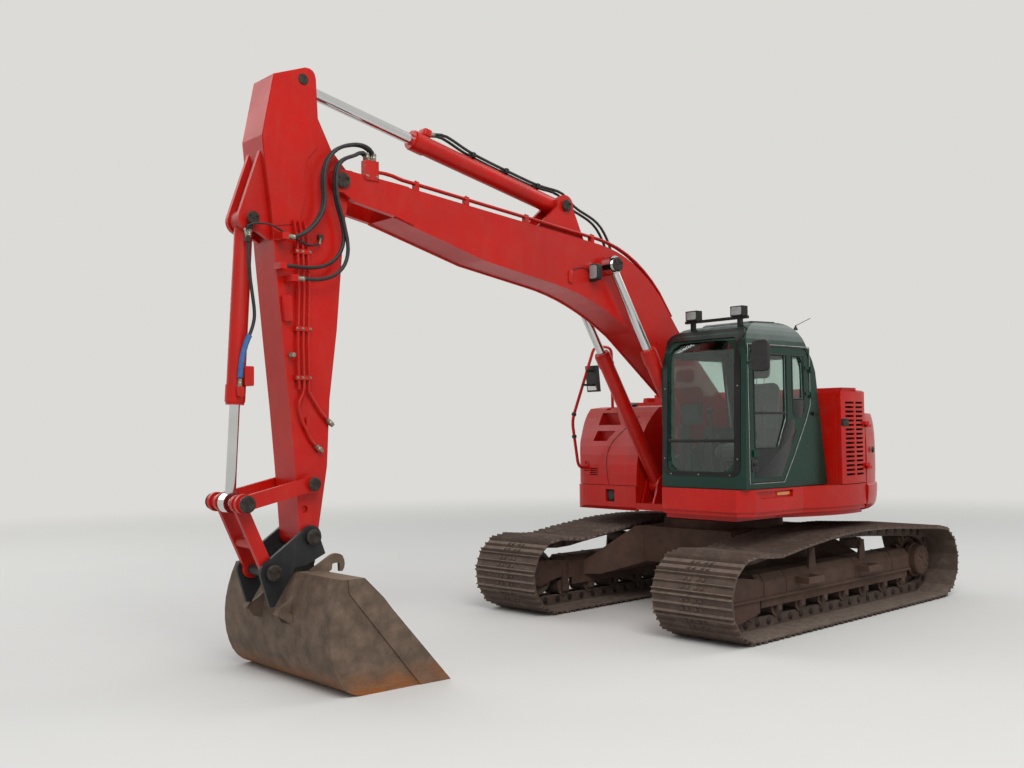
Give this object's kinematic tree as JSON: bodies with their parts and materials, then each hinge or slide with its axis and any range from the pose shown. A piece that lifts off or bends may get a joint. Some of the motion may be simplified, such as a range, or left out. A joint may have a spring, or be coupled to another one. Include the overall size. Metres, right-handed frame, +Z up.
{
  "type": "crawler excavator",
  "caption": "Tracked excavator with short rear end, one-piece boom, arm, quick coupler and wide toothless ditching bucket; slewing house, cab, doors and linkage move",
  "frame": {"origin": "on the ground, under the centre of the slew ring", "axes": "+X forward along the boom, +Y to the cab's side (left), +Z up"},
  "size_m": [8.2488, 3.502, 4.7871],
  "materials": {
    "rusty_steel": "rusty and dusty forged and welded steel",
    "body_paint": "bright red machine enamel, semi gloss",
    "cab_paint": "dark green machine enamel, gloss",
    "black_paint": "black enamel, satin, worn",
    "dark_steel": "painted and oily steel and iron",
    "rod_chrome": "hard chromed and ground rod",
    "bucket_steel": "worn brown wear steel with orange rust",
    "window_glass": "tinted safety glass",
    "black_plastic": "textured moulded black plastic",
    "seat_cloth": "dark woven seat cloth",
    "hose_rubber": "smooth black hose rubber"
  },
  "bodies": {
    "undercarriage": {"carbody": "rusty_steel", "tow_lugs": "rusty_steel", "track_frame_left": "rusty_steel", "track_frame_right": "rusty_steel", "track_left": "rusty_steel", "track_right": "rusty_steel", "final_drive_left": "rusty_steel", "final_drive_right": "rusty_steel", "rollers_left": "rusty_steel", "rollers_right": "rusty_steel"},
    "house": {"slewing_platform": "body_paint", "left_skirt": "body_paint", "left_rear_housing": "body_paint", "cooler": "dark_steel", "counterweight": "body_paint", "lifting_bosses": "body_paint", "engine": "dark_steel", "swing_motor": "dark_steel", "right_front_housing": "body_paint", "right_rear_housing": "body_paint", "headlamp": "black_plastic", "handrail": "body_paint", "handrail_mirror": "black_plastic", "cab_shell": "cab_paint", "cab_windows": "window_glass", "operator_seat": "seat_cloth", "cab_controls": "black_plastic", "lamp_bar": "black_paint", "cab_mirror": "black_plastic", "cab_grab_rail": "black_paint"},
    "left_side_door": {"left_side_door": "body_paint"},
    "right_side_door": {"right_side_door": "body_paint"},
    "engine_hood": {"engine_hood": "body_paint"},
    "cab_door": {"cab_door": "cab_paint", "cab_door_windows": "window_glass"},
    "boom": {"boom": "body_paint", "boom_pipes": "body_paint", "arm_hose_1": "hose_rubber", "arm_hose_2": "hose_rubber", "arm_hose_3": "hose_rubber", "arm_hose_4": "hose_rubber"},
    "boom_cylinder_barrels": {"boom_cylinder_barrels": "body_paint"},
    "boom_cylinder_rods": {"boom_cylinder_rods": "rod_chrome"},
    "arm_cylinder_barrel": {"arm_cylinder_barrel": "body_paint"},
    "arm_cylinder_rod": {"arm_cylinder_rod": "rod_chrome"},
    "arm": {"arm": "body_paint", "arm_pipes": "body_paint"},
    "bucket_cylinder_barrel": {"bucket_cylinder_barrel": "body_paint"},
    "bucket_cylinder_rod": {"bucket_cylinder_rod": "rod_chrome"},
    "rocker_links": {"rocker_links": "body_paint"},
    "bucket_link": {"bucket_link": "body_paint"},
    "bucket": {"quick_coupler": "black_paint", "bucket": "bucket_steel"}
  },
  "joints": [
    {"name": "slew", "type": "hinge", "parent": "undercarriage", "child": "house", "pos_m": [0, 0, 1], "axis": [0, 0, 1], "continuous": true},
    {"name": "boom_lift", "type": "hinge", "parent": "house", "child": "boom", "pos_m": [-0.06, 0, 1.76], "axis": [0, -1, 0], "range_deg": [-54, 34]},
    {"name": "boom_barrels_swing", "type": "hinge", "parent": "house", "child": "boom_cylinder_barrels", "pos_m": [0.69, 0, 1.3], "axis": [0, -1, 0], "range_deg": [-57.79, 36.57]},
    {"name": "boom_rods_slide", "type": "slide", "parent": "boom_cylinder_barrels", "child": "boom_cylinder_rods", "axis": [0.5211, 0, 0.8535], "range_m": [-0.737, 0.466]},
    {"name": "arm_swing", "type": "hinge", "parent": "boom", "child": "arm", "pos_m": [5, 0, 3.92], "axis": [0, 1, 0], "range_deg": [-74, 42], "deforming": ["arm_hose_1", "arm_hose_2", "arm_hose_3", "arm_hose_4"]},
    {"name": "arm_barrel_swing", "type": "hinge", "parent": "boom", "child": "arm_cylinder_barrel", "pos_m": [2.462, 0, 4.052], "axis": [0, 1, 0], "range_deg": [-7.63, 4.55]},
    {"name": "arm_rod_slide", "type": "slide", "parent": "arm_cylinder_barrel", "child": "arm_cylinder_rod", "axis": [0.976, 0, 0.2178], "range_m": [-1.006, 0.573]},
    {"name": "bucket_curl", "type": "hinge", "parent": "arm", "child": "bucket", "pos_m": [5.283, 0, 1.11], "axis": [0, 1, 0], "range_deg": [-70, 90]},
    {"name": "bucket_barrel_swing", "type": "hinge", "parent": "arm", "child": "bucket_cylinder_barrel", "pos_m": [5.747, 0, 3.544], "axis": [0, 1, 0], "range_deg": [-4.55, 5.71]},
    {"name": "bucket_rod_slide", "type": "slide", "parent": "bucket_cylinder_barrel", "child": "bucket_cylinder_rod", "axis": [0.0539, 0, -0.9985], "range_m": [-0.407, 0.521]},
    {"name": "rocker_swing", "type": "hinge", "parent": "arm", "child": "rocker_links", "pos_m": [5.294, 0, 1.519], "axis": [0, 1, 0], "range_deg": [-48.04, 61.62]},
    {"name": "link_swing", "type": "hinge", "parent": "bucket", "child": "bucket_link", "pos_m": [5.622, 0, 0.867], "axis": [0, 1, 0], "range_deg": [-60.76, 47.37]},
    {"name": "cab_door_hinge", "type": "hinge", "parent": "house", "child": "cab_door", "pos_m": [0.452, 1.464, 2], "axis": [0, 0, -1], "range_deg": [-150, 0]},
    {"name": "left_side_door_hinge", "type": "hinge", "parent": "house", "child": "left_side_door", "pos_m": [-0.338, 1.595, 1.8], "axis": [0, 0, 1], "range_deg": [0, 90]},
    {"name": "right_side_door_hinge", "type": "hinge", "parent": "house", "child": "right_side_door", "pos_m": [-0.338, -1.595, 1.8], "axis": [0, 0, -1], "range_deg": [0, 90]},
    {"name": "engine_hood_hinge", "type": "hinge", "parent": "house", "child": "engine_hood", "pos_m": [-0.342, 0, 2.3], "axis": [0, 1, 0], "range_deg": [0, 65]}
  ],
  "couplings": [
    {"joint": "boom_barrels_swing", "follows": "boom_lift", "ratio": 1.0609},
    {"joint": "boom_rods_slide", "follows": "boom_lift", "m_per_rad": 0.7766},
    {"joint": "arm_barrel_swing", "follows": "arm_swing", "ratio": 0.0964},
    {"joint": "arm_rod_slide", "follows": "arm_swing", "m_per_rad": 0.775},
    {"joint": "bucket_barrel_swing", "follows": "bucket_curl", "ratio": 0.0579},
    {"joint": "bucket_rod_slide", "follows": "bucket_curl", "m_per_rad": 0.3288},
    {"joint": "rocker_swing", "follows": "bucket_curl", "ratio": 0.6791},
    {"joint": "link_swing", "follows": "bucket_curl", "ratio": -0.6695}
  ]
}
